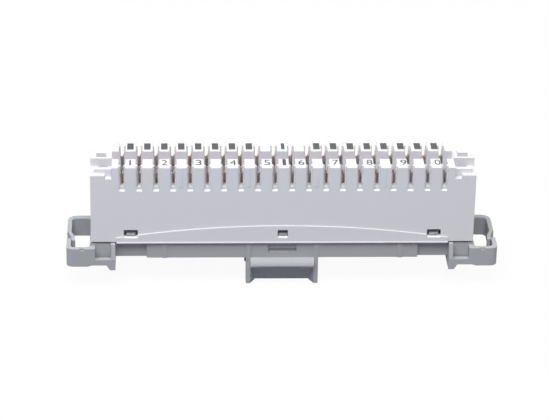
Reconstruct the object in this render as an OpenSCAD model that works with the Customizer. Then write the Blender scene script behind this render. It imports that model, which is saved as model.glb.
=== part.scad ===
// Ten-pair punch down wiring block with a plug channel between its two rows.
// A one-piece comb housing snaps over a one-piece base. Forty sprung metal contacts stand
// in the comb, twenty in each row, and each front contact meets its rear partner on the
// mid plane. X runs along the block, Y across it (front is -Y) and Z is up. The origin is
// at the middle of the face that the centre saddle stands on.

/* [Comb] */
// Wire slots in each row
slot_count = 20; // [12:2:24]
// Distance from one wire slot to the next
slot_pitch = 4.86; // [4.6:0.02:5.4]
// Width of a wire slot where it grips the wire
slot_w = 0.96; // [0.6:0.02:1.1]
// Width of the shallow recess round a slot's way out
exit_w = 1.7; // [1.5:0.05:2]
// Depth of that recess
exit_d = 0.45; // [0.3:0.05:0.7]
// From a slot's floor down to the lower edge of its recess
sill_h = 1.35; // [1:0.05:2]
// Depth of a wire slot below the tooth tops
slot_h = 6; // [5:0.25:7]
// Width of the lead-in at the top of a wire slot
mouth_w = 1.9; // [1.4:0.1:2.3]
// Depth of that lead-in
mouth_h = 2.5; // [1.5:0.1:3]
// From the last slot's centre to the end of the comb
end_tooth_w = 2.95; // [2.6:0.05:3.6]

/* [Housing] */
// Length of each end block beyond the comb
end_block_w = 6.1; // [5.6:0.1:7]
// Depth of the housing, front to back
body_d = 17.5; // [16.5:0.25:20]
// Height of the housing
body_h = 23.8; // [22:0.2:27]
// Width of the plug channel between the rows
channel_w = 5.26; // [4.6:0.02:5.6]
// Outer wall round the housing's open underside
skirt_wall = 1.3; // [1:0.1:1.6]
// How far the arched skirt stands proud of the front and rear faces
skirt_proud = 0.3; // [0.1:0.05:0.4]
// Height of the arched skirt at its ends
skirt_end_h = 1.7; // [1:0.1:2.5]
// Height of the arched skirt at its middle
skirt_mid_h = 5.5; // [4.8:0.1:7]
// Width of an outer latch window
window_w = 4; // [3.6:0.1:4.6]
// Width of the middle latch window
mid_window_w = 2.9; // [2.7:0.1:3.4]
// Height of a latch window
window_h = 2.1; // [1.8:0.1:2.4]
// From the housing's lower edge up to a latch window
window_z = 2.05; // [1.7:0.05:2.5]

/* [Base] */
// Height of the base that shows below the housing
base_h = 4.9; // [4.4:0.1:6]
// How far the base's face lies behind the housing's
base_inset = 0.3; // [0.2:0.05:0.6]
// Height of the shadow gap between base and housing
parting_gap = 0.25; // [0.15:0.05:0.4]
// Moulded wall of the base
base_wall = 1.3; // [1:0.1:1.6]
// Thickness of the deck that the contacts stand on
deck_t = 1.5; // [1.2:0.1:2]
// Height of the deck's rim inside the housing
deck_rise = 1.3; // [1:0.1:1.8]
// Depth of the recessed stretch near each foot
recess_d = 1.1; // [0.6:0.1:1.4]
// Length of that recessed stretch
recess_l = 9; // [7:0.5:11]
// Distance from the middle to each upright face rib
face_rib_x = 34.05; // [30:0.05:38]
// Width of an upright face rib
face_rib_w = 1.35; // [1:0.05:1.8]

/* [Feet and wire guides] */
// From the end of the housing in to the inner face of a foot
foot_inset = 7; // [6.4:0.1:7.6]
// Thickness of a foot
foot_t = 1.2; // [1:0.05:1.6]
// Depth over the feet and the wire guides
guide_d = 22.06; // [21:0.02:25]
// How far a foot reaches below the base's floor
foot_drop = 2.75; // [2:0.05:4]
// How far a foot's toe spreads outwards
toe_w = 0.4; // [0.2:0.05:0.8]
// How far the base's end wall stands out beyond the housing
end_lip = 0.35; // [0.2:0.05:0.6]
// How far a wire guide reaches beyond the housing
guide_reach = 7.1; // [6.8:0.1:9]
// Height of a wire guide
guide_h = 5.6; // [5:0.1:7]
// How far a wire guide reaches below the base's floor
guide_drop = 1.57; // [1:0.01:2]
// Thickness of a wire guide's front wall
guide_front = 1.5; // [1.3:0.1:2]
// Thickness of a wire guide's rear wall
guide_rear = 2; // [1.5:0.1:2.4]
// Thickness of a wire guide's outer wall
guide_side = 1.25; // [1:0.05:1.4]
// Radius of a wire guide's front outer corner
guide_r = 2; // [1.5:0.1:2.6]
// Radius of a wire guide's rear outer corner
guide_rear_r = 2.8; // [2:0.1:3.4]
// Thickness of a wire guide's curled lip
lip_t = 1; // [0.8:0.05:1.2]

/* [Centre saddle] */
// Height of the saddle below the base's floor
saddle_h = 8.3; // [7.5:0.1:10]
// Distance between the saddle's cheeks
saddle_w = 18.3; // [16:0.1:22]
// Thickness of a cheek
cheek_t = 1.3; // [1:0.1:1.8]
// How far the rounded nose stands out beyond the base's face
nose_out = 2.05; // [1.4:0.05:2.6]
// Radius of the nose
nose_r = 2.35; // [2:0.05:2.8]
// Height of the nose
nose_h = 1.95; // [1.6:0.05:2.3]

/* [Contacts] */
// Thickness of the contact sheet
sheet_t = 0.5; // [0.4:0.05:0.6]
// Width of a contact's fork
fork_w = 3.4; // [3:0.1:3.6]
// Width of the slit that cuts into the wire
slit_w = 0.36; // [0.3:0.02:0.5]
// Width of a contact's spring leaf
leaf_w = 2.4; // [2:0.1:2.6]
// From the tooth tops down to the fork's tips
fork_drop = 2.5; // [1.6:0.1:3]
// Clearance of a contact in its pocket
contact_gap = 0.06; // [0.04:0.01:0.12]

/* [Hidden] */
$fn = 48;
eps = 0.05;
fit = 0.1;                                   // moulding to moulding clearance

comb_l = (slot_count - 1) * slot_pitch + 2 * end_tooth_w;
body_l = comb_l + 2 * end_block_w;
row_d = (body_d - channel_w) / 2;
row_y = channel_w / 2 + row_d / 2;           // middle of a row, from the mid plane
body_z = saddle_h + base_h;
top_z = body_z + body_h;
slot_z = top_z - slot_h;
foot_x = body_l / 2 - foot_inset;            // inner face of a foot
base_d = body_d - 2 * base_inset;
base_l = body_l - 2 * (skirt_wall - 0.2);
deck_z = body_z + deck_rise;                 // face that the contacts stand on
rim_l = body_l - 2 * (skirt_wall + fit);
rim_d = body_d - 2 * (skirt_wall + fit);
window_x = (slot_count - 2) / 2 * slot_pitch;
end_x = body_l / 2 + end_lip;                // outer face of the base's end wall
bar_z0 = saddle_h - 1.2;                     // low bars beside the feet
bar_z1 = saddle_h + 0.55;

// Clamping ribs that break the lead-in, measured across a row from its middle
grip_y = row_d / 2 - 1.5;
grip_d = 0.8;

// Small relief of the housing's faces
strip_w = 1.05;                              // faint strips on some front teeth
strip_t = 0.07;
bead = 0.15;                                 // bead along the skirt's lower edge
sill = 0.35;                                 // sloping sill of a latch window

// End blocks, heights above the slots' floor and depths from the mid plane
plate_z = slot_z + 3.55;
plate_d = 1.75;
notch_w = 2;
notch_z = plate_z - 1.05;
ledge_z = plate_z + 1.3;
ledge_w = end_block_w - 1.2;
guard_y = channel_w / 2 - 0.35;
guard_t = 0.9;
key_w = 2.9;
key_x = 1.6;
guard_z = top_z + 0.1;                       // tops of guard and key, just above the teeth

// Contact heights
fork_top_z = top_z - fork_drop;
fork_low_z = body_z + 6.8;
meet_z = deck_z + 12.5;                      // where two partners touch
flare_z = meet_z + 2.6;
bend_r = 1.2;                                // outer radius of the spring's U bend
fold_h = 4.5;                                // height over which fork and leaf are joined
leaf_y = row_y - fork_w / 2 * cos(45);       // outer face of the leaf's standing leg

function two_digits(i) = str(i < 10 ? "0" : "", i);
function slot_x(i) = (i - (slot_count + 1) / 2) * slot_pitch;

// ---- shared helpers

module both_ends() { children(); mirror([1, 0, 0]) children(); }
module both_sides() { children(); mirror([0, 1, 0]) children(); }
module both_rows() { children(); rotate([0, 0, 180]) children(); }
module each_slot() { for (i = [1 : slot_count]) translate([slot_x(i), 0]) children(); }

// Box centred on X and Y, standing on z
module block(l, d, z, h) { translate([-l / 2, -d / 2, z]) cube([l, d, h]); }

// Box given by its lowest and highest corners
module span(a, b) { translate(a) cube(b - a); }

// Strip of even thickness along a chain of points, round at each of them
module strip(points, t) {
    for (p = points) translate(p) circle(d = t);
    for (i = [1 : len(points) - 1]) {
        v = points[i] - points[i - 1];
        translate(points[i - 1]) rotate(atan2(v[1], v[0])) translate([0, -t / 2])
            square([norm(v), t]);
    }
}

// ---- comb housing

// Teeth ends and end blocks: plate, notch, ledge, guard and key
module end_block() {
    x0 = comb_l / 2;
    x1 = body_l / 2;
    difference() {
        span([x0 - eps, -body_d / 2, body_z], [x1, body_d / 2, plate_z]);
        both_sides() span([x0, -body_d / 2 - eps, notch_z],
            [x0 + notch_w, -body_d / 2 + plate_d, plate_z + eps]);
        span([x0 - 2 * eps, -guard_y + guard_t, slot_z - 1],
            [x1 - 1.2, guard_y - guard_t, plate_z + eps]);
        span([x0 + 1, -body_d / 2 + plate_d + 1.4, slot_z - 1],
            [x0 + ledge_w - 1, -guard_y, plate_z + eps]);
    }
    span([x0 - eps, -body_d / 2 + plate_d, plate_z - 2],
        [x0 + ledge_w, -body_d / 2 + plate_d + 1.4, ledge_z]);
    span([x0 - eps, -guard_y, plate_z - 2], [x1, -guard_y + guard_t, guard_z]);
    span([x0 + key_x, guard_y - guard_t, plate_z - 2], [x0 + key_x + key_w, guard_y, guard_z]);
}

// Lead-in prisms over one stretch of a row, y0 to y1
module mouths(y0, y1) {
    translate([0, y1, 0]) rotate([90, 0, 0]) linear_extrude(y1 - y0)
        each_slot() polygon([
            [-mouth_w / 2 - 0.04, top_z + eps], [mouth_w / 2 + 0.04, top_z + eps],
            [slot_w / 2, top_z - mouth_h], [-slot_w / 2, top_z - mouth_h]]);
}

// Everything cut into one row from above and from below, drawn for the front row
module row_cuts() {
    outer = -body_d / 2;
    inner = -channel_w / 2;
    // wire slots, right through the row
    translate([0, 0, slot_z]) linear_extrude(slot_h + 1) each_slot()
        translate([-slot_w / 2, outer - 1]) square([slot_w, row_d + 1 + eps]);
    // shallow recess round each way out, with a sloping sill below it
    for (i = [1 : slot_count]) translate([slot_x(i) - exit_w / 2, 0, 0]) rotate([90, 0, 90])
        linear_extrude(exit_w) polygon([
            [outer - 0.5, slot_z - sill_h - 0.5], [outer + exit_d, slot_z - sill_h + exit_d],
            [outer + exit_d, top_z + 1], [outer - 0.5, top_z + 1]]);
    // lead-ins on both sides of the clamping ribs
    mouths(outer - 1, -row_y - grip_y);
    mouths(-row_y - grip_y + grip_d, inner + eps);
    // slanted pocket of each fork, open below
    translate([0, 0, body_z - eps]) linear_extrude(fork_top_z + contact_gap - body_z + eps)
        each_slot() translate([0, -row_y]) rotate(45)
            square([fork_w + 2 * contact_gap, sheet_t + 2 * contact_gap], center = true);
    // pocket of each spring, open to the channel and below
    translate([0, 0, body_z - eps]) linear_extrude(slot_z - body_z + eps) each_slot()
        translate([-leaf_w / 2 - 0.35, -leaf_y - 0.35])
            square([leaf_w + 0.7, leaf_y + 0.35 + inner + eps]);
}

// Arched skirt round the latch windows of the front face
module skirt() {
    half = foot_x - 0.3;
    rise = skirt_mid_h - skirt_end_h;
    arch_r = (half * half + rise * rise) / (2 * rise);
    translate([0, -body_d / 2 + eps, body_z]) rotate([90, 0, 0])
        linear_extrude(skirt_proud + eps) intersection() {
            translate([-half, 0]) square([2 * half, skirt_mid_h]);
            translate([0, skirt_mid_h - arch_r]) circle(r = arch_r, $fn = 360);
        }
    // bead along its lower edge
    translate([-half, 0, 0]) rotate([90, 0, 90]) linear_extrude(2 * half) polygon([
        [-body_d / 2, body_z], [-body_d / 2 - skirt_proud - bead, body_z],
        [-body_d / 2 - skirt_proud - bead, body_z + 0.25],
        [-body_d / 2 - skirt_proud, body_z + 0.55], [-body_d / 2, body_z + 0.55]]);
}

// One latch window with a sloping sill, and the pocket behind it
module window(x, w) {
    face = -body_d / 2 - skirt_proud;
    z0 = body_z + window_z;
    translate([x, 0, 0]) {
        translate([-w / 2, 0, 0]) rotate([90, 0, 90]) linear_extrude(w) polygon([
            [face - 0.5, z0 - sill - 0.5], [face + sill, z0], [-rim_d / 2 + 1, z0],
            [-rim_d / 2 + 1, z0 + window_h], [face - 0.5, z0 + window_h]]);
        span([-w / 2 + 0.25, -body_d / 2 + skirt_wall - 0.05, body_z],
            [w / 2 - 0.25, -rim_d / 2 + 1.1, body_z + window_z + window_h + 0.3]);
    }
}

module upper_housing() color([0.79, 0.79, 0.82]) difference() {
    union() {
        block(comb_l, body_d, body_z, body_h);
        both_ends() end_block();
        both_sides() skirt();
        // faint strips on every fourth front tooth
        for (i = [4 : 4 : slot_count - 4])
            span([slot_x(i) + slot_pitch / 2 - 0.8, -body_d / 2 - strip_t, slot_z],
                [slot_x(i) + slot_pitch / 2 - 0.8 + strip_w, -body_d / 2 + eps, top_z - 0.05]);
    }
    both_rows() row_cuts();
    // plug channel, and the spring bays between its cross webs
    block(comb_l, channel_w, flare_z + 0.4, top_z);
    translate([0, 0, body_z - eps]) linear_extrude(flare_z + 0.5 - body_z) each_slot()
        square([slot_pitch - 1, channel_w], center = true);
    // open underside that takes the base's rim
    block(body_l - 2 * skirt_wall, body_d - 2 * skirt_wall, body_z - 1, 1 + deck_rise + fit);
    both_sides() {
        both_ends() {
            window(window_x, window_w);
            // wall ends a little higher beyond the feet
            span([foot_x - 0.3, -body_d / 2 - 1, body_z - 1],
                [body_l / 2 + 1, -body_d / 2 + skirt_wall - 0.4, body_z + parting_gap + 0.1]);
        }
        window(0, mid_window_w);
    }
}

// ---- base

// Latch tongue with the nib that shows in a window
module latch(x, w) {
    y = -rim_d / 2;
    translate([x, 0, 0]) {
        span([-w / 2, y, body_z - eps], [w / 2, y + 0.9, body_z + window_z + 1.05]);
        translate([-w / 2, 0, 0]) rotate([90, 0, 90]) linear_extrude(w) polygon([
            [y + eps, body_z + window_z + 0.15], [y - skirt_wall + 0.15, body_z + window_z + 0.2],
            [y - skirt_wall + 0.15, body_z + window_z + 0.7], [y + eps, body_z + window_z + 1]]);
    }
}

// Rectangle from corner a to corner b with its own radius at each corner with x = b[0]
module rounded(a, b, front_r, rear_r) {
    difference() {
        translate(a) square(b - a);
        translate([b[0] - front_r, a[1] - eps]) square([front_r + eps, front_r + eps]);
        translate([b[0] - rear_r, b[1] - rear_r]) square([rear_r + eps, rear_r + eps]);
    }
    translate([b[0] - front_r, a[1] + front_r]) circle(r = front_r);
    translate([b[0] - rear_r, b[1] - rear_r]) circle(r = rear_r);
}

// Wire guide: a rounded C with a curled lip at its slit, closed by the base's end wall
module wire_guide() {
    x0 = base_l / 2 - eps;
    x1 = body_l / 2 + guide_reach;
    z0 = saddle_h - guide_drop;
    half = guide_d / 2;
    inner_r = 1.2;
    in_a = [end_x, -half + guide_front];
    in_b = [x1 - guide_side, half - guide_rear];
    difference() {
        translate([0, 0, z0]) linear_extrude(guide_h) {
            difference() {
                rounded([x0, -half], [x1, half], guide_r, guide_rear_r);
                // inside of the loop
                translate(in_a + [inner_r, 0]) square(in_b - in_a - [2 * inner_r, 0]);
                translate(in_a + [0, inner_r]) square(in_b - in_a - [0, 2 * inner_r]);
                for (x = [in_a[0] + inner_r, in_b[0] - inner_r], y = [in_a[1] + inner_r, in_b[1] - inner_r])
                    translate([x, y]) circle(r = inner_r);
                // slit in the outer wall
                translate([x1 - guide_side - eps, -3.9]) square([guide_side + 1, 4.2]);
            }
            // curled lip, which starts on the rear stretch of the wall
            strip([[x1 - guide_side / 2, 0.8], [x1 - 1.8, -2.9], [x1 - 1.95, -4.8]], lip_t);
        }
        // small notch in the front edge
        span([x1 - 5.1, -half - 1, z0 + guide_h - 0.6], [x1 - 3.8, -half + 0.5, z0 + guide_h + 1]);
        // underside rises to the low bars
        translate([0, half + 1, 0]) rotate([90, 0, 0]) linear_extrude(guide_d + 2) polygon([
            [x0 - 1, z0 - 1], [end_x + 0.6, z0 - 1], [end_x + 0.6, z0], [end_x - 0.6, bar_z0],
            [x0 - 1, bar_z0]]);
    }
    // end wall, which stops just below the housing
    span([x0, -body_d / 2 + 0.2, z0 + 1], [end_x, body_d / 2 - 0.2, body_z - parting_gap]);
}

// Foot with its spreading toe, and the low bars that tie it to the wire guide
module foot() {
    half = guide_d / 2;
    toe_z = saddle_h - foot_drop;
    x1 = foot_x + foot_t;
    difference() {
        translate([0, half, 0]) rotate([90, 0, 0]) linear_extrude(guide_d) polygon([
            [foot_x, toe_z], [x1 + toe_w, toe_z], [x1 + toe_w + 0.95, bar_z0],
            [x1 + toe_w + 0.95, bar_z0 + 0.3], [x1, bar_z0 + 0.3], [x1, body_z], [foot_x, body_z]]);
        // faces lean in above the bars
        both_sides() translate([foot_x - 1, 0, 0]) rotate([90, 0, 90])
            linear_extrude(foot_t + 2) polygon([[-half - 1, bar_z1], [-half, bar_z1],
                [-body_d / 2 - 1.2, body_z], [-body_d / 2 - 1.2, body_z + 1],
                [-half - 1, body_z + 1]]);
    }
    both_sides() span([foot_x + eps, -half, bar_z0], [base_l / 2 + 0.1, -half + 1.7, bar_z1]);
}

// Jaws of the centre saddle: nose, slanting wall, cheeks and the fillets between them
module saddle() {
    face = -base_d / 2;
    nose = face - nose_out;
    nose_z = saddle_h - nose_h;
    wall_y = face + 2.1;
    both_sides() {
        translate([-saddle_w / 2 - eps, 0, 0]) rotate([90, 0, 90])
            linear_extrude(saddle_w + 2 * eps) {
                intersection() {
                    translate([nose + nose_r, saddle_h - nose_r + 0.04]) circle(r = nose_r);
                    translate([nose - 1, nose_z]) square([nose_out + 1.5, nose_h + 0.02]);
                }
                polygon([[nose + 0.3, nose_z + 0.2], [nose + 0.4, nose_z],
                    [face + 0.15, nose_z - 0.4], [wall_y, 0.3], [wall_y + 1.2, 0.3],
                    [face + 1.4, saddle_h - 2], [face + base_wall, saddle_h + 0.5],
                    [face + 0.3, saddle_h + 0.5], [face + 0.3, nose_z + 0.4]]);
            }
        both_ends() {
            // deeper lip towards each cheek
            span([5.2, nose + 0.35, nose_z - 0.6], [saddle_w / 2 + eps, face + 0.35, nose_z + 0.2]);
            translate([saddle_w / 2, 0, 0]) rotate([90, 0, 90]) linear_extrude(cheek_t)
                polygon([[-body_d / 2, 0], [wall_y + 1, 0], [wall_y + 1.5, saddle_h + 0.5],
                    [-body_d / 2, saddle_h + 0.5]]);
            span([saddle_w / 2, -body_d / 2, saddle_h], [saddle_w / 2 + cheek_t, face + eps, body_z]);
            linear_extrude(saddle_h - nose_h - 0.2) polygon([[saddle_w / 2 + eps, -body_d / 2 + 0.15],
                [saddle_w / 2 + eps, wall_y + 0.1], [saddle_w / 2 - 1.25, wall_y + 0.1]]);
        }
    }
}

module base() color([0.655, 0.66, 0.675]) {
    face = -base_d / 2;
    difference() {
        union() {
            block(base_l, base_d, saddle_h, base_h);
            block(rim_l, rim_d, body_z - eps, deck_rise + eps);
        }
        // shadow gap below the housing
        both_sides() span([-base_l / 2 - 1, face - 1, body_z - parting_gap],
            [base_l / 2 + 1, face + 0.5, body_z]);
        // recessed stretches near the feet
        both_sides() both_ends() span([foot_x - recess_l, face - 1, saddle_h - eps],
            [foot_x, face + recess_d, body_z]);
        // middle pocket with its deeper slot
        both_sides() {
            span([-4.05, face - 1, saddle_h + 1.7], [4.05, face + 0.5, body_z]);
            span([-4.05, face - 1, saddle_h + 1.7], [4.05, face + 1, saddle_h + 2.7]);
        }
        underside_cells();
        block(saddle_w, base_d - 2 * base_wall, saddle_h - 1, base_h - deck_t + deck_rise + 1);
    }
    // upright face ribs, flush with the housing
    both_sides() both_ends() span([face_rib_x - face_rib_w / 2, -body_d / 2, saddle_h],
        [face_rib_x + face_rib_w / 2, face + 0.6, body_z]);
    both_sides() {
        both_ends() latch(window_x, 2.6);
        latch(0, 2.4);
    }
    both_ends() {
        wire_guide();
        foot();
    }
    saddle();
}

// Ribbed underside: rows of cells between a spine and cross ribs
module underside_cells() {
    x0 = saddle_w / 2 + cheek_t;
    cell_n = 4;
    cell_l = (foot_x - x0) / cell_n;
    y1 = base_d / 2 - recess_d - base_wall;
    for (k = [0 : cell_n - 1]) both_sides() both_ends()
        span([x0 + k * cell_l + (k == 0 ? 0 : base_wall / 2), -y1, saddle_h - 1],
            [x0 + (k + 1) * cell_l - (k == cell_n - 1 ? 0 : base_wall / 2), -base_wall / 2,
                deck_z - deck_t]);
}

// ---- contacts

// Sprung contact of the front row, at x = 0
module contact() color([0.78, 0.76, 0.70]) {
    // fork, set at 45 degrees across the slot
    translate([0, -row_y, 0]) rotate([0, 0, 45]) rotate([90, 0, 0])
        translate([0, 0, -sheet_t / 2]) linear_extrude(sheet_t) difference() {
            polygon([[-fork_w / 2, fork_low_z], [fork_w / 2, fork_low_z],
                [fork_w / 2, fork_top_z - 0.6], [fork_w / 2 - 0.5, fork_top_z],
                [-fork_w / 2 + 0.5, fork_top_z], [-fork_w / 2, fork_top_z - 0.6]]);
            translate([-slit_w / 2, slot_z - 1.5]) square([slit_w, slot_h + 2]);
            translate([0, slot_z - 1.5]) circle(d = slit_w);
            polygon([[-0.65, fork_top_z + eps], [0.65, fork_top_z + eps], [0, fork_top_z - 0.8]]);
        }
    // fold between the fork and the leaf
    translate([leaf_w / 2, -leaf_y + sheet_t / 2, fork_low_z + 0.3])
        cylinder(d = sheet_t + 0.1, h = fold_h - 0.6);
    // leaf: standing leg, U bend on the deck, sprung arm up to the meeting line
    arm = -leaf_y + 2 * bend_r - sheet_t / 2;
    translate([-leaf_w / 2, 0, 0]) rotate([90, 0, 90]) linear_extrude(leaf_w) {
        translate([-leaf_y, deck_z + bend_r])
            square([sheet_t, fork_low_z + fold_h - deck_z - bend_r]);
        translate([-leaf_y + bend_r, deck_z + bend_r]) difference() {
            circle(r = bend_r);
            circle(r = bend_r - sheet_t);
            translate([-bend_r - 1, 0]) square([2 * bend_r + 2, bend_r + 1]);
        }
        strip([[arm, deck_z + bend_r], [-0.02 - sheet_t / 2, meet_z],
            [-1.1 - sheet_t / 2, flare_z - sheet_t / 2]], sheet_t);
    }
}

upper_housing();
base();
for (i = [1 : slot_count]) {
    translate([slot_x(i), 0, 0]) contact();
    translate([slot_x(i), 0, 0]) rotate([0, 0, 180]) contact();
}
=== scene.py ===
"""Looks for a ten-pair punch down wiring block: moulded plastics, sprung contacts, print and studio.

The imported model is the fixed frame. Its nodes keep their shapes and get procedural finishes here;
the print on the teeth is built here as thin ink, and the studio round the block is set up last.
All lengths are metres in the block's own frame: X along it, Y across it (front is -Y), Z up.
"""

import logging
import math
from dataclasses import dataclass, field
from enum import Enum
from typing import Mapping, Optional, Sequence, Union

import bpy
from mathutils import Matrix, Vector


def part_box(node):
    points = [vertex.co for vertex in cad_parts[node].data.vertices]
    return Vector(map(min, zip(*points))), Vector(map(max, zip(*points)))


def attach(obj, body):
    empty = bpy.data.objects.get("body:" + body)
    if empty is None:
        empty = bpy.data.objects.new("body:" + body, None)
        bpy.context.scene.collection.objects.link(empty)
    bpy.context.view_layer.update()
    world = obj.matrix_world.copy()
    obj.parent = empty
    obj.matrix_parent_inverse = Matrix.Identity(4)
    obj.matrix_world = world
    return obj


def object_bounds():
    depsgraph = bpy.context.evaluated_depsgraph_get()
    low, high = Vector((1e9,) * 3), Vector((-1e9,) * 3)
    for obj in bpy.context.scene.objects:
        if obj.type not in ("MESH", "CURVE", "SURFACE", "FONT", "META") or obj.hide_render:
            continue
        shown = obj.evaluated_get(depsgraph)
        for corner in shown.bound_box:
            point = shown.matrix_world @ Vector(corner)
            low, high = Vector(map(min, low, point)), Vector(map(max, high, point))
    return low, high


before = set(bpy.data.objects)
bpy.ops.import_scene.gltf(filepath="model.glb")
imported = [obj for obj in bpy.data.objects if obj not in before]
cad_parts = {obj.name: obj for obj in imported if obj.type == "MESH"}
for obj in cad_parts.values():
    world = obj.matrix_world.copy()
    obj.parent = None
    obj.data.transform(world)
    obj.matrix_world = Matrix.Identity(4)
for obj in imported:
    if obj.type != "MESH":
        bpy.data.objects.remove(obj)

CAD_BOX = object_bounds()
MM = 0.001
LOG = logging.getLogger("wiring_block")

Colour = tuple[float, float, float]
Number = Union[int, float]


def linear(red: int, green: int, blue: int) -> Colour:
    """Turns a display colour into the linear one that shaders take.

    Args:
        red: Red, 0 to 255.
        green: Green, 0 to 255.
        blue: Blue, 0 to 255.

    Returns:
        The three linear values, 0 to 1.
    """
    def one(value: int) -> float:
        """Linear value of one display value."""
        share = value / 255
        return share / 12.92 if share <= 0.04045 else ((share + 0.055) / 1.055) ** 2.4
    return one(red), one(green), one(blue)


# ---------------------------------------------------------------------------------------------
# Shader graph
# ---------------------------------------------------------------------------------------------

class Port:
    """One output socket of a shader graph, on which plain arithmetic adds Math nodes."""

    def __init__(self, graph: "Graph", socket: bpy.types.NodeSocket) -> None:
        """Wraps a socket.

        Args:
            graph: The graph that new nodes go to.
            socket: The output socket.
        """
        self.graph = graph
        self.socket = socket

    def _math(self, operation: str, first: "Value", second: "Value") -> "Port":
        """Adds one Math node.

        Args:
            operation: The Math node's operation.
            first: Its first value.
            second: Its second value.

        Returns:
            The node's output.
        """
        return self.graph.add("ShaderNodeMath", {"operation": operation}, {0: first, 1: second})

    def __add__(self, other: "Value") -> "Port":
        """Sum."""
        return self._math("ADD", self, other)

    def __radd__(self, other: "Value") -> "Port":
        """Sum, reflected."""
        return self._math("ADD", other, self)

    def __sub__(self, other: "Value") -> "Port":
        """Difference."""
        return self._math("SUBTRACT", self, other)

    def __rsub__(self, other: "Value") -> "Port":
        """Difference, reflected."""
        return self._math("SUBTRACT", other, self)

    def __mul__(self, other: "Value") -> "Port":
        """Product."""
        return self._math("MULTIPLY", self, other)

    def __rmul__(self, other: "Value") -> "Port":
        """Product, reflected."""
        return self._math("MULTIPLY", other, self)

    def __pow__(self, other: "Value") -> "Port":
        """Power."""
        return self._math("POWER", self, other)

    def __gt__(self, other: "Value") -> "Port":
        """1 where this value is the greater, 0 elsewhere."""
        return self._math("GREATER_THAN", self, other)


Value = Union[Port, Number, Sequence[float], str]


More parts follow.
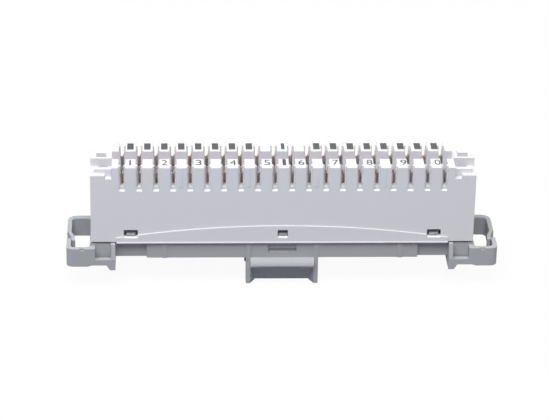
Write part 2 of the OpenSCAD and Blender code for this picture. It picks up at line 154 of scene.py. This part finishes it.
class Graph:
    """A material's node tree, written as expressions."""

    def __init__(self, name: str) -> None:
        """Makes a material with an empty tree.

        Args:
            name: The material's name.
        """
        self.material = bpy.data.materials.new(name)
        self.material.use_nodes = True
        self.tree = self.material.node_tree
        self.tree.nodes.clear()

    def add(self, kind: str, settings: Optional[Mapping[str, object]] = None,
            inputs: Optional[Mapping[Union[int, str], Value]] = None,
            output: Union[int, str] = 0) -> Port:
        """Adds a node, sets its settings first, and then its sockets.

        Args:
            kind: The node's type.
            settings: Values of the node itself; "stops" fills a colour ramp.
            inputs: Values or links of its sockets, by name or number.
            output: The output socket that is returned.

        Returns:
            The chosen output.
        """
        node = self.tree.nodes.new(kind)
        for key, value in (settings or {}).items():
            if key == "stops":
                self._fill_ramp(node.color_ramp, value)
            else:
                setattr(node, key, value)
        for key, value in (inputs or {}).items():
            if isinstance(value, Port):
                self.tree.links.new(value.socket, node.inputs[key])
            else:
                node.inputs[key].default_value = value
        return Port(self, node.outputs[output])

    @staticmethod
    def _fill_ramp(ramp: bpy.types.ColorRamp, stops: Sequence[tuple[float, float]]) -> None:
        """Gives a ramp its grey stops.

        Args:
            ramp: The colour ramp.
            stops: Pairs of position and grey level, from low to high.
        """
        while len(ramp.elements) < len(stops):
            ramp.elements.new(1.0)
        for element, (position, level) in zip(ramp.elements, stops):
            element.position = position
            element.color = (level, level, level, 1)

    def place(self) -> Port:
        """Object coordinates of the shaded point."""
        return self.add("ShaderNodeTexCoord", output="Object")

    def noise(self, size: float, detail: float = 2.0, stretch: Vector = Vector((1, 1, 1))) -> Port:
        """Noise over the object.

        Args:
            size: Size of one blotch in metres.
            detail: Octaves.
            stretch: How much longer a blotch is along each axis.

        Returns:
            The noise, about 0 to 1 with a mean of 0.5.
        """
        scale = tuple(1 / value for value in stretch)
        where = self.add("ShaderNodeMapping", inputs={"Vector": self.place(), "Scale": scale},
                         output="Vector")
        return self.add("ShaderNodeTexNoise", {"noise_dimensions": "3D"},
                        {"Vector": where, "Scale": 1 / size, "Detail": detail,
                         "Roughness": 0.55}, "Fac")

    def speckle(self, size: float) -> Port:
        """Distance to the middle of a random cell.

        Args:
            size: Size of one cell in metres.

        Returns:
            The distance, 0 in the middle of a cell.
        """
        return self.add("ShaderNodeTexVoronoi", {"feature": "F1"},
                        {"Vector": self.place(), "Scale": 1 / size}, "Distance")

    def ramp(self, value: Port, stops: Sequence[tuple[float, float]]) -> Port:
        """Sends a value through grey stops.

        Args:
            value: The value.
            stops: Pairs of position and level.

        Returns:
            The level at the value.
        """
        return self.add("ShaderNodeValToRGB", {"stops": stops}, {"Fac": value}, "Color")

    def blend(self, low: Union[Port, Colour], high: Union[Port, Colour], share: Port) -> Port:
        """Mixes two colours.

        Args:
            low: The colour at 0.
            high: The colour at 1.
            share: Where between them.

        Returns:
            The mixed colour.
        """
        def full(value: Union[Port, Colour]) -> Value:
            """A colour with its alpha, or the link unchanged."""
            return value if isinstance(value, Port) else (*value, 1.0)
        return self.add("ShaderNodeMix", {"data_type": "RGBA", "blend_type": "MIX"},
                        {0: share, 6: full(low), 7: full(high)}, 2)

    def soft_edges(self, radius: float) -> Port:
        """Normal that rounds each sharp edge over a radius in metres."""
        return self.add("ShaderNodeBevel", {"samples": 6}, {"Radius": radius}, "Normal")

    def edge_band(self, rounded: Port, sharpness: float) -> Port:
        """Finds edges, where the rounded normal turns away from the true one.

        Args:
            rounded: The rounded normal.
            sharpness: How narrow the found band is.

        Returns:
            0 on a flat face, rising towards an edge.
        """
        true = self.add("ShaderNodeNewGeometry", output="True Normal")
        along = self.add("ShaderNodeVectorMath", {"operation": "DOT_PRODUCT"},
                         {0: rounded, 1: true}, "Value")
        return (1 - along) * sharpness

    def bump(self, height: Port, distance: float, base: Optional[Port] = None) -> Port:
        """Turns a height into a normal.

        Args:
            height: Height, about 0 to 1.
            distance: Metres of relief for a height of 1.
            base: The normal below it.

        Returns:
            The bumped normal.
        """
        inputs: dict[Union[int, str], Value] = {"Strength": 1.0, "Distance": distance,
                                                "Height": height}
        if base is not None:
            inputs["Normal"] = base
        return self.add("ShaderNodeBump", inputs=inputs, output="Normal")

    def surface(self, shader: Port) -> bpy.types.Material:
        """Ends the tree.

        Args:
            shader: The finished shader.

        Returns:
            The material.
        """
        end = self.tree.nodes.new("ShaderNodeOutputMaterial")
        self.tree.links.new(shader.socket, end.inputs["Surface"])
        return self.material


# ---------------------------------------------------------------------------------------------
# Finishes
# ---------------------------------------------------------------------------------------------

@dataclass(frozen=True)
class MouldedPlastic:
    """Injection-moulded plastic with a fine spark-eroded grain and softly rounded edges."""

    name: str
    colour: Colour
    roughness: float = 0.46
    edge_radius: float = 0.18 * MM
    grain: float = 0.22 * MM
    grain_depth: float = 0.006 * MM

    def shade(self, factor: float) -> Colour:
        """The plastic's colour, lighter or darker by a factor."""
        red, green, blue = self.colour
        return red * factor, green * factor, blue * factor

    def build(self) -> bpy.types.Material:
        """Builds the material.

        Returns:
            Plastic with clouding, flow marks, grain and slightly lighter edges, which are a painted
            highlight as well as wear.
        """
        graph = Graph(self.name)
        rounded = graph.soft_edges(self.edge_radius)
        cloud = graph.noise(14 * MM, 3.0)
        flow = graph.noise(5 * MM, 2.0, Vector((6, 1, 1)))
        # Band along the edges, used below for a painted highlight that also stands for rubbing wear.
        wear_and_highlight = graph.edge_band(rounded, 3.0)
        grit = graph.noise(self.grain, 2.0)
        body = graph.blend(self.shade(0.965), self.shade(1.02), cloud * 0.7 + flow * 0.3)
        # Painted highlight: edges up to 7 percent lighter, along with wear.
        colour = graph.blend(body, self.shade(1.07), wear_and_highlight * 0.5)
        dust = graph.ramp(graph.noise(0.9 * MM, 1.0), [(0.0, 0.0), (0.70, 0.0), (0.80, 1.0)])
        colour = graph.blend(colour, self.shade(0.93), dust * 0.6)
        relief = graph.bump(grit + flow * 0.8, self.grain_depth, rounded)
        shader = graph.add("ShaderNodeBsdfPrincipled", inputs={
            "Base Color": colour,
            "Roughness": self.roughness - 0.05 + cloud * 0.06 + grit * 0.05,
            "IOR": 1.5,
            "Normal": relief,
        })
        return graph.surface(shader)


@dataclass(frozen=True)
class TinnedBronze:
    """Tinned bronze sheet, rolled upright, with warmer sheared edges."""

    name: str
    tin: Colour
    bronze: Colour
    roughness: float = 0.30

    def build(self) -> bpy.types.Material:
        """Builds the material.

        Returns:
            Metal with rolling lines and a bronze tint where it is worn.
        """
        graph = Graph(self.name)
        rounded = graph.soft_edges(0.06 * MM)
        rolling = graph.noise(0.12 * MM, 2.0, Vector((1, 1, 30)))
        patch = graph.noise(1.6 * MM, 3.0)
        wear_and_highlight = graph.ramp(patch + graph.edge_band(rounded, 2.0) * 0.4,
                          [(0.0, 0.0), (0.5, 0.1), (0.75, 1.0)])
        shader = graph.add("ShaderNodeBsdfPrincipled", inputs={
            "Base Color": graph.blend(self.tin, self.bronze, wear_and_highlight),
            "Metallic": 1.0,
            "Roughness": self.roughness + rolling * 0.14,
            "Normal": graph.bump(rolling, 0.002 * MM, rounded),
        })
        return graph.surface(shader)


@dataclass(frozen=True)
class PrintInk:
    """Pad-printed ink: a thin dull film with faint mottling."""

    name: str
    colour: Colour
    worn: Colour
    roughness: float = 0.52

    def build(self) -> bpy.types.Material:
        """Builds the material.

        Returns:
            Ink with thin places and a fine orange-peel relief.
        """
        graph = Graph(self.name)
        thin = graph.ramp(graph.noise(0.35 * MM, 3.0), [(0.0, 0.0), (0.52, 0.0), (0.85, 1.0)])
        peel = graph.speckle(0.12 * MM)
        shader = graph.add("ShaderNodeBsdfPrincipled", inputs={
            "Base Color": graph.blend(self.colour, self.worn, thin),
            "Roughness": self.roughness + thin * 0.15,
            "Normal": graph.bump(peel, 0.002 * MM),
        })
        return graph.surface(shader)


@dataclass(frozen=True)
class PaleFloor:
    """Matte white sweep that stays white to the eye, keeps a soft shadow and throws little light back."""

    name: str
    colour: Colour = (0.80, 0.80, 0.80)
    bounce: Colour = (0.25, 0.26, 0.30)
    clean_share: float = 0.94

    def build(self) -> bpy.types.Material:
        """Builds the material.

        Returns:
            White card, mostly plain white for rays that come from the eye or a reflection, and
            a grey card for light on its way back to the block.
        """
        graph = Graph(self.name)
        grey = graph.add("ShaderNodeBsdfDiffuse", inputs={"Color": (*self.bounce, 1)})
        card = graph.add("ShaderNodeBsdfDiffuse", inputs={"Color": (*self.colour, 1)})
        glow = graph.add("ShaderNodeEmission", inputs={"Color": (1, 1, 1, 1), "Strength": 1.0})
        clean = graph.add("ShaderNodeMixShader", inputs={0: self.clean_share, 1: card, 2: glow})
        path = "ShaderNodeLightPath"
        seen = (graph.add(path, output="Is Camera Ray") + graph.add(path, output="Is Glossy Ray")
                + graph.add(path, output="Is Transmission Ray"))
        return graph.surface(graph.add("ShaderNodeMixShader", inputs={0: seen, 1: grey, 2: clean}))


class Finish(Enum):
    """Every finish on the block and round it."""

    HOUSING = MouldedPlastic("comb_housing_plastic", linear(222, 221, 226))
    BASE = MouldedPlastic("base_plastic", linear(201, 203, 207), roughness=0.43)
    CONTACT = TinnedBronze("contact_tinned_bronze", linear(236, 230, 222), linear(212, 190, 168))
    INK = PrintInk("print_ink", linear(60, 60, 64), linear(86, 86, 90))
    FLOOR = PaleFloor("studio_floor")

    def material(self) -> bpy.types.Material:
        """The finish's material, built once."""
        return bpy.data.materials.get(self.value.name) or self.value.build()


# ---------------------------------------------------------------------------------------------
# Mesh helpers
# ---------------------------------------------------------------------------------------------

def add_object(name: str, mesh: bpy.types.Mesh) -> bpy.types.Object:
    """Puts a mesh into the scene at the origin.

    Args:
        name: The object's name.
        mesh: Its mesh, already in place.

    Returns:
        The object.
    """
    made = bpy.data.objects.new(name, mesh)
    bpy.context.scene.collection.objects.link(made)
    return made


def flatten(source: bpy.types.Object) -> bpy.types.Mesh:
    """Turns an object, modifiers included, into a plain mesh.

    Args:
        source: A mesh, text or curve object.

    Returns:
        A new mesh.
    """
    depsgraph = bpy.context.evaluated_depsgraph_get()
    return bpy.data.meshes.new_from_object(source.evaluated_get(depsgraph))


def dress(nodes: Sequence[str], finish: Finish) -> None:
    """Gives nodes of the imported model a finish.

    Args:
        nodes: Names of the nodes.
        finish: The finish that they all take.
    """
    for name in nodes:
        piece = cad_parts[name]
        if not piece.material_slots:
            piece.data.materials.append(None)
        for held in piece.material_slots:
            held.link = "OBJECT"
            held.material = finish.material()
        LOG.info("dressed %s as %s", name, finish.value.name)


# ---------------------------------------------------------------------------------------------
# Repeated print marks
# ---------------------------------------------------------------------------------------------

@dataclass
class MarkTree:
    """Geometry Nodes for a row of thin printed bars, with a gap in the middle of the row."""

    name: str = "print_mark_row"
    inputs: tuple[tuple[str, str], ...] = (
        ("Count", "NodeSocketInt"), ("Start", "NodeSocketVector"), ("Pitch", "NodeSocketFloat"),
        ("Width", "NodeSocketFloat"), ("Length", "NodeSocketFloat"),
        ("Thickness", "NodeSocketFloat"), ("Corner", "NodeSocketFloat"),
        ("Gap First", "NodeSocketInt"), ("Gap Last", "NodeSocketInt"),
        ("Ink", "NodeSocketMaterial"))
    tree: Optional[bpy.types.NodeTree] = None
    sockets: dict[str, str] = field(default_factory=dict)

    def build(self) -> bpy.types.NodeTree:
        """Builds the tree.

        Returns:
            The node tree: points in a line, a rounded slab on each outside the gap.
        """
        tree = bpy.data.node_groups.new(self.name, "GeometryNodeTree")
        for label, kind in self.inputs:
            made = tree.interface.new_socket(label, in_out="INPUT", socket_type=kind)
            self.sockets[label] = made.identifier
        tree.interface.new_socket("Geometry", in_out="OUTPUT", socket_type="NodeSocketGeometry")
        given = tree.nodes.new("NodeGroupInput").outputs

        def add(kind: str, links: Mapping[Union[int, str], object],
                **settings: object) -> bpy.types.Node:
            """Adds a node with its settings and its links or values."""
            node = tree.nodes.new(kind)
            for key, value in settings.items():
                setattr(node, key, value)
            for key, value in links.items():
                if isinstance(value, bpy.types.NodeSocket):
                    tree.links.new(value, node.inputs[key])
                else:
                    node.inputs[key].default_value = value
            return node

        step = add("ShaderNodeCombineXYZ", {"X": given["Pitch"]})
        line = add("GeometryNodeMeshLine", {"Count": given["Count"],
                                            "Start Location": given["Start"],
                                            "Offset": step.outputs[0]})
        index = add("GeometryNodeInputIndex", {}).outputs[0]
        before = add("FunctionNodeCompare", {2: index, 3: given["Gap First"]},
                     data_type="INT", operation="LESS_THAN")
        after = add("FunctionNodeCompare", {2: index, 3: given["Gap Last"]},
                    data_type="INT", operation="GREATER_THAN")
        printed = add("FunctionNodeBooleanMath", {0: before.outputs[0], 1: after.outputs[0]},
                      operation="OR")
        outline = add("GeometryNodeCurvePrimitiveQuadrilateral",
                      {"Width": given["Width"], "Height": given["Length"]}, mode="RECTANGLE")
        corners = add("GeometryNodeFilletCurve",
                      {"Curve": outline.outputs[0], "Radius": given["Corner"], "Count": 3},
                      mode="POLY")
        face = add("GeometryNodeFillCurve", {"Curve": corners.outputs[0]}, mode="NGONS")
        raised = add("GeometryNodeExtrudeMesh",
                     {"Mesh": face.outputs[0], "Offset Scale": given["Thickness"],
                      "Individual": False}, mode="FACES")
        below = add("GeometryNodeFlipFaces", {"Mesh": face.outputs[0]})
        both = add("GeometryNodeJoinGeometry", {})
        tree.links.new(raised.outputs[0], both.inputs[0])
        tree.links.new(below.outputs[0], both.inputs[0])
        slab = add("GeometryNodeMergeByDistance", {"Geometry": both.outputs[0],
                                                   "Distance": 1e-6})
        row = add("GeometryNodeInstanceOnPoints", {
            "Points": line.outputs[0], "Selection": printed.outputs[0],
            "Instance": slab.outputs[0]})
        real = add("GeometryNodeRealizeInstances", {"Geometry": row.outputs[0]})
        inked = add("GeometryNodeSetMaterial", {"Geometry": real.outputs[0],
                                                "Material": given["Ink"]})
        end = tree.nodes.new("NodeGroupOutput")
        tree.links.new(inked.outputs[0], end.inputs[0])
        self.tree = tree
        return tree

    def make(self, name: str, values: Mapping[str, object]) -> bpy.types.Object:
        """Runs the tree once and keeps the result as a plain mesh.

        Args:
            name: Name of the piece.
            values: The tree's inputs by name.

        Returns:
            The finished object.
        """
        carrier = add_object(name + "_carrier", bpy.data.meshes.new(name + "_carrier"))
        modifier = carrier.modifiers.new("marks", "NODES")
        modifier.node_group = self.tree or self.build()
        for label, value in values.items():
            modifier[self.sockets[label]] = value
        mesh = flatten(carrier)
        mesh.name = name
        carrier.modifiers.remove(modifier)
        bpy.data.objects.remove(carrier)
        return add_object(name, mesh)


# ---------------------------------------------------------------------------------------------
# Sub-assemblies
# ---------------------------------------------------------------------------------------------

@dataclass
class CombHousing:
    """The one-piece comb housing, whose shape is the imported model's."""

    node: str = "upper_housing"

    def build(self) -> None:
        """Dresses the housing."""
        dress([self.node], Finish.HOUSING)

    @property
    def tooth_top(self) -> float:
        """Height of the tooth tops, just below the guards that close the rows."""
        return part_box(self.node)[1].z - 0.1 * MM


@dataclass
class BaseMoulding:
    """The one-piece base with its feet, wire guides and saddle."""

    node: str = "base"

    def build(self) -> None:
        """Dresses the base."""
        dress([self.node], Finish.BASE)


@dataclass
class ContactRows:
    """Both rows of sprung contacts."""

    prefixes: tuple[str, ...] = ("contact_front_", "contact_rear_")

    def names(self) -> list[str]:
        """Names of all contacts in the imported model."""
        return sorted(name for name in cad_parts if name.startswith(self.prefixes))

    def slot_xs(self) -> list[float]:
        """Middle of each wire slot along the block, from the front row's contacts.

        Returns:
            Twenty places, from low X to high X.
        """
        middles = []
        for name in self.names():
            if name.startswith(self.prefixes[0]):
                low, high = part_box(name)
                middles.append((low.x + high.x) / 2)
        return sorted(middles)

    def build(self) -> None:
        """Dresses the contacts."""
        dress(self.names(), Finish.CONTACT)


@dataclass
class ToothPrint:
    """Numbers on the front teeth, bars and blocks of ink on both rows."""

    slots: Sequence[float]
    top: float
    thickness: float = 0.03 * MM
    sunk: float = 0.005 * MM
    digit_height: float = 3.35 * MM
    digit_width: float = 1.72 * MM
    digit_y: float = -5.0 * MM
    block_width: float = 1.88 * MM
    block_length: float = 4.3 * MM
    block_y: float = 6.05 * MM
    bar_width: float = 1.0 * MM
    bar_length: float = 4.1 * MM
    front_bar_y: float = -4.85 * MM
    corner: float = 0.12 * MM
    digits: Mapping[int, str] = field(default_factory=lambda: {
        1: "1", 3: "2", 5: "3", 7: "4", 9: "5", 11: "6", 13: "7", 15: "8", 17: "9", 19: "0"})
    middle_tooth: int = 10
    shift: float = 0.15 * MM
    stretch: float = 1.0068

    def tooth_x(self, tooth: int) -> float:
        """Middle of the print on a tooth between two wire slots.

        The print sits a little to the right and its pitch is slightly long for the teeth.

        Args:
            tooth: Number of the tooth, 1 for the one after the first slot.

        Returns:
            Its place along the block.
        """
        return (self.slots[tooth - 1] + self.slots[tooth]) / 2 * self.stretch + self.shift

    def build(self) -> list[bpy.types.Object]:
        """Builds all print.

        Returns:
            The printed pieces.
        """
        tree = MarkTree()
        teeth = len(self.slots) - 1
        low = self.top - self.sunk
        shared = {"Thickness": self.thickness, "Corner": self.corner,
                  "Pitch": self.tooth_x(2) - self.tooth_x(1),
                  "Ink": Finish.INK.material()}
        made = [tree.make("print_rear_blocks", shared | {
            "Count": teeth, "Start": (self.tooth_x(1), self.block_y, low),
            "Width": self.block_width, "Length": self.block_length,
            "Gap First": self.middle_tooth - 2, "Gap Last": self.middle_tooth})]
        for name, y in (("print_rear_bar", self.block_y), ("print_front_bar", self.front_bar_y)):
            made.append(tree.make(name, shared | {
                "Count": 1, "Start": (self.tooth_x(self.middle_tooth), y, low),
                "Width": self.bar_width, "Length": self.bar_length,
                "Gap First": 1, "Gap Last": 1}))
        for tooth, text in self.digits.items():
            made.append(self.number(tooth, text, low))
        for piece in made:
            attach(piece, "root")
            LOG.info("printed %s, %d faces", piece.name, len(piece.data.polygons))
        return made

    def number(self, tooth: int, text: str, low: float) -> bpy.types.Object:
        """Prints one number on a front tooth.

        Args:
            tooth: Number of the tooth.
            text: The digit.
            low: Height of the underside of the ink.

        Returns:
            The number as a plain mesh.
        """
        curve = bpy.data.curves.new("number_text", "FONT")
        curve.body = text
        curve.size = 1.0
        curve.extrude = 0.5
        curve.resolution_u = 8
        holder = add_object("number_text", curve)
        mesh = flatten(holder)
        bpy.data.objects.remove(holder)
        xs = [vertex.co.x for vertex in mesh.vertices]
        ys = [vertex.co.y for vertex in mesh.vertices]
        wide = self.digit_height / (max(ys) - min(ys))
        if text != "1":
            wide = self.digit_width / (max(xs) - min(xs))
        centre = Vector(((max(xs) + min(xs)) / 2, (max(ys) + min(ys)) / 2, -0.5))
        tall = self.digit_height / (max(ys) - min(ys))
        mesh.transform(Matrix.Translation((self.tooth_x(tooth), self.digit_y, low))
                       @ Matrix.Diagonal((wide, tall, self.thickness, 1))
                       @ Matrix.Translation(-centre))
        mesh.materials.clear()
        mesh.materials.append(Finish.INK.material())
        return add_object(f"print_number_{text}", mesh)


# ---------------------------------------------------------------------------------------------
# Studio
# ---------------------------------------------------------------------------------------------

@dataclass(frozen=True)
class Softbox:
    """One rectangular studio lamp."""

    name: str
    place: tuple[float, float, float]
    aim: tuple[float, float, float]
    size: tuple[float, float]
    watts: float

    def build(self) -> bpy.types.Object:
        """Builds the lamp.

        Returns:
            The lamp, turned towards its aim.
        """
        light = bpy.data.lights.new(self.name, "AREA")
        light.shape = "RECTANGLE"
        light.size, light.size_y = self.size
        light.energy = self.watts
        lamp = bpy.data.objects.new(self.name, light)
        bpy.context.scene.collection.objects.link(lamp)
        towards = Vector(self.aim) - Vector(self.place)
        lamp.matrix_world = (Matrix.Translation(self.place)
                             @ towards.to_track_quat("-Z", "Y").to_matrix().to_4x4())
        return lamp


@dataclass
class Studio:
    """Pale floor, soft lamps, even sky and the camera."""

    ground: float
    floor_half: float = 4.0
    sky: Colour = (0.96, 0.98, 1.0)
    sky_strength: float = 0.15
    lamps: tuple[Softbox, ...] = (
        Softbox("key_softbox", (-0.12, -0.45, 0.95), (0, 0, 0.02), (0.9, 0.7), 14.6),
        Softbox("left_softbox", (-1.1, 0.15, 0.5), (0, 0, 0.02), (0.7, 0.5), 2.5),
        Softbox("right_softbox", (1.1, 0.15, 0.5), (0, 0, 0.02), (0.7, 0.5), 2.5),
        Softbox("rear_softbox", (0.1, 1.2, 0.6), (0, 0, 0.02), (0.8, 0.5), 4.0),
    )
    elevation: float = 26.01
    azimuth: float = 2.85
    roll: float = 1.12
    eye: tuple[float, float, float] = (-0.036168, -0.687924, 0.355502)
    lens: float = 172.5

    def build(self) -> None:
        """Builds the studio and makes its camera the scene's."""
        self.floor()
        self.world()
        for lamp in self.lamps:
            lamp.build()
            LOG.info("hung %s", lamp.name)
        self.camera()
        bpy.context.scene.view_settings.view_transform = "Standard"

    def floor(self) -> None:
        """Lays the floor under the block."""
        half = self.floor_half
        mesh = bpy.data.meshes.new("studio_floor")
        mesh.from_pydata([(-half, -half, self.ground), (half, -half, self.ground),
                          (half, half, self.ground), (-half, half, self.ground)],
                         [], [(0, 1, 2, 3)])
        mesh.materials.append(Finish.FLOOR.material())
        add_object("studio_floor", mesh)

    def world(self) -> None:
        """Sets an even sky that only fills shadows and is plain white behind the block."""
        world = bpy.data.worlds.new("studio_sky")
        world.use_nodes = True
        tree = world.node_tree
        sky = tree.nodes["Background"]
        sky.inputs["Color"].default_value = (*self.sky, 1)
        sky.inputs["Strength"].default_value = self.sky_strength
        backdrop = tree.nodes.new("ShaderNodeBackground")
        backdrop.inputs["Color"].default_value = (1, 1, 1, 1)
        path = tree.nodes.new("ShaderNodeLightPath")
        mixed = tree.nodes.new("ShaderNodeMixShader")
        tree.links.new(path.outputs["Is Camera Ray"], mixed.inputs[0])
        tree.links.new(sky.outputs[0], mixed.inputs[1])
        tree.links.new(backdrop.outputs[0], mixed.inputs[2])
        tree.links.new(mixed.outputs[0], tree.nodes["World Output"].inputs["Surface"])
        bpy.context.scene.world = world

    def camera(self) -> None:
        """Sets the camera above the front of the block, slightly to its left."""
        tilt, turn, roll = (math.radians(v) for v in (self.elevation, self.azimuth, self.roll))
        ahead = Vector((math.sin(turn) * math.cos(tilt), math.cos(turn) * math.cos(tilt),
                        -math.sin(tilt)))
        level = Vector((math.cos(turn), -math.sin(turn), 0))
        upright = level.cross(ahead)
        right = level * math.cos(roll) + upright * math.sin(roll)
        top = upright * math.cos(roll) - level * math.sin(roll)
        data = bpy.data.cameras.new("studio_camera")
        data.lens = self.lens
        data.sensor_width = 36
        data.clip_start = 0.05
        data.clip_end = 20
        camera = bpy.data.objects.new("studio_camera", data)
        bpy.context.scene.collection.objects.link(camera)
        camera.matrix_world = Matrix.Translation(self.eye) @ Matrix(
            (right, top, -ahead)).transposed().to_4x4()
        bpy.context.scene.camera = camera


def main() -> None:
    """Builds every piece in order and reports it."""
    logging.basicConfig(level=logging.INFO, format="%(name)s: %(message)s")
    housing = CombHousing()
    contacts = ContactRows()
    housing.build()
    BaseMoulding().build()
    contacts.build()
    ToothPrint(contacts.slot_xs(), housing.tooth_top).build()
    Studio(ground=CAD_BOX[0].z).build()


if __name__ == "__main__":
    main()
